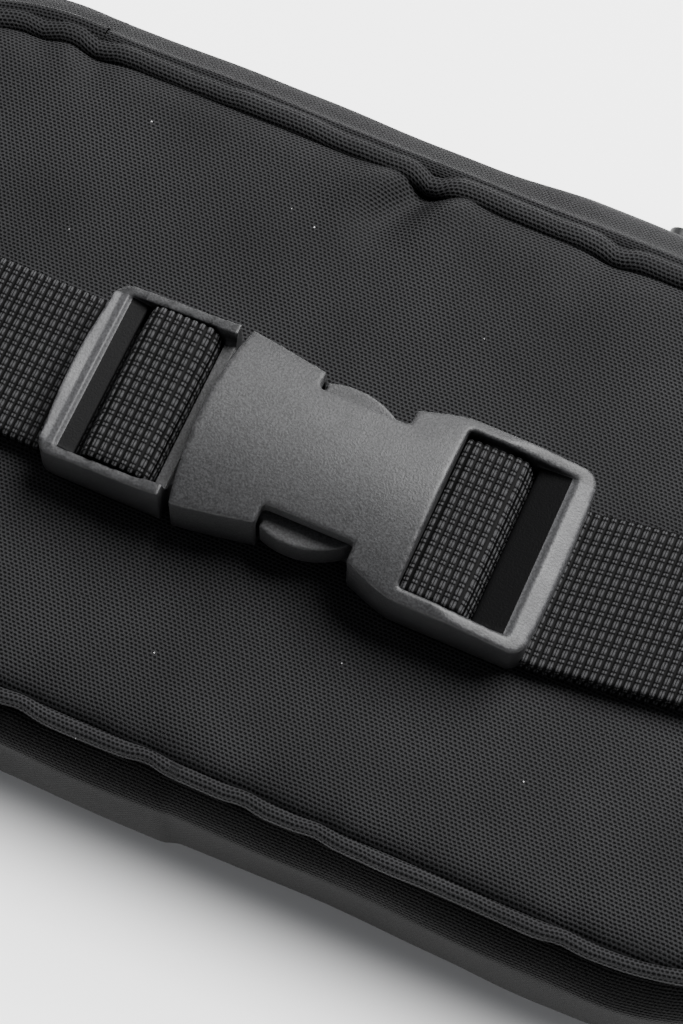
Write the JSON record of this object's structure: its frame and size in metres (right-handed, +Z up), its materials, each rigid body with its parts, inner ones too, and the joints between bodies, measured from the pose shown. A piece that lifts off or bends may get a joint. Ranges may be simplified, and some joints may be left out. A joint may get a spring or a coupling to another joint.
{
  "type": "waist pack",
  "caption": "Black nylon waist pack with a padded back panel, top zip, front zip pocket and a webbing belt shut by a side-release buckle.",
  "frame": {"origin": "on the floor, on the flat outer face of the front pocket, under the middle of the buckle", "axes": "+X along the bag towards the female half of the buckle, +Y towards the top edge with the main zip, +Z up, out of the back panel"},
  "size_m": [0.4434, 0.1208, 0.059],
  "materials": {
    "shell_cloth": "matte woven nylon",
    "lining_cloth": "smooth lining cloth",
    "foam": "closed cell foam pad",
    "webbing": "ribbed nylon webbing",
    "elastic": "woven elastic",
    "buckle_plastic": "fine moulded grain",
    "zip_tape": "woven tape",
    "zip_teeth": "nylon coil",
    "slider_metal": "black enamel",
    "pull_plastic": "soft moulded"
  },
  "bodies": {
    "bag": {"back_panel": "shell_cloth", "back_foam": "foam", "back_lining": "lining_cloth", "back_piping": "shell_cloth", "front_panel": "shell_cloth", "front_lining": "lining_cloth", "gusset_wall": "shell_cloth", "gusset_lining": "lining_cloth", "seam_binding": "zip_tape", "pocket_panel": "shell_cloth", "pocket_wall": "shell_cloth", "pocket_zip_tape": "zip_tape", "pocket_zip_teeth": "zip_teeth", "zip_stops": "slider_metal", "side_tab_left": "shell_cloth", "side_tab_right": "shell_cloth", "strap_left_ear": "webbing", "strap_right_ear": "webbing", "strap_right_run": "webbing", "keeper_right": "elastic", "buckle_female": "buckle_plastic"},
    "male_half": {"buckle_male": "buckle_plastic", "strap_left_run": "webbing", "keeper_left": "elastic"},
    "prong_upper": {"prong_upper": "buckle_plastic"},
    "prong_lower": {"prong_lower": "buckle_plastic"},
    "lip_back": {"zip_strip_back": "shell_cloth", "zip_tape_back": "zip_tape", "zip_teeth_back": "zip_teeth"},
    "lip_front": {"zip_strip_front": "shell_cloth", "zip_tape_front": "zip_tape", "zip_teeth_front": "zip_teeth"},
    "slider": {"zip_slider": "slider_metal"},
    "pull": {"zip_pull": "pull_plastic"},
    "pocket_slider": {"pocket_slider": "slider_metal"},
    "pocket_pull": {"pocket_pull": "pull_plastic"}
  },
  "joints": [
    {"name": "zip_slide", "type": "slide", "parent": "bag", "child": "slider", "axis": [-1, 0, 0], "range_m": [0, 0.11]},
    {"name": "zip_pull_swing", "type": "hinge", "parent": "slider", "child": "pull", "pos_m": [0.057, 0.06787, 0.0255], "axis": [0, 0, -1], "range_deg": [0, 150]},
    {"name": "lip_back_open", "type": "hinge", "parent": "bag", "child": "lip_back", "pos_m": [0, 0.053, 0.0418], "axis": [1, 0, 0], "range_deg": [0, 48], "stiffness_Nm_per_rad": 0.00003, "springref_deg": 143.24, "deforming": ["zip_tape_back", "zip_teeth_back"]},
    {"name": "lip_front_open", "type": "hinge", "parent": "bag", "child": "lip_front", "pos_m": [0, 0.0577, 0.0126], "axis": [-1, 0, 0], "range_deg": [0, 48], "stiffness_Nm_per_rad": 0.00012, "deforming": ["zip_tape_front", "zip_teeth_front"]},
    {"name": "buckle_release", "type": "slide", "parent": "bag", "child": "male_half", "axis": [-1, 0, 0], "range_m": [0, 0.03], "deforming": ["strap_left_ear"]},
    {"name": "prong_upper_press", "type": "hinge", "parent": "male_half", "child": "prong_upper", "pos_m": [-0.013, 0.0086, 0.0535], "axis": [0, 0, -1], "range_deg": [0, 8], "stiffness_Nm_per_rad": 0.5, "deforming": ["prong_upper"]},
    {"name": "prong_lower_press", "type": "hinge", "parent": "male_half", "child": "prong_lower", "pos_m": [-0.013, -0.0086, 0.0535], "axis": [0, 0, 1], "range_deg": [0, 8], "stiffness_Nm_per_rad": 0.5, "deforming": ["prong_lower"]},
    {"name": "pocket_zip_slide", "type": "slide", "parent": "bag", "child": "pocket_slider", "axis": [-1, 0, 0], "range_m": [0, 0.088]},
    {"name": "pocket_pull_swing", "type": "hinge", "parent": "pocket_slider", "child": "pocket_pull", "pos_m": [0.04525, 0.04025, 0.0055], "axis": [0, 0, -1], "range_deg": [0, 140]}
  ],
  "couplings": [
    {"joint": "lip_back_open", "follows": "zip_slide", "rad_per_m": 7.1},
    {"joint": "lip_front_open", "follows": "zip_slide", "rad_per_m": 7.1}
  ]
}
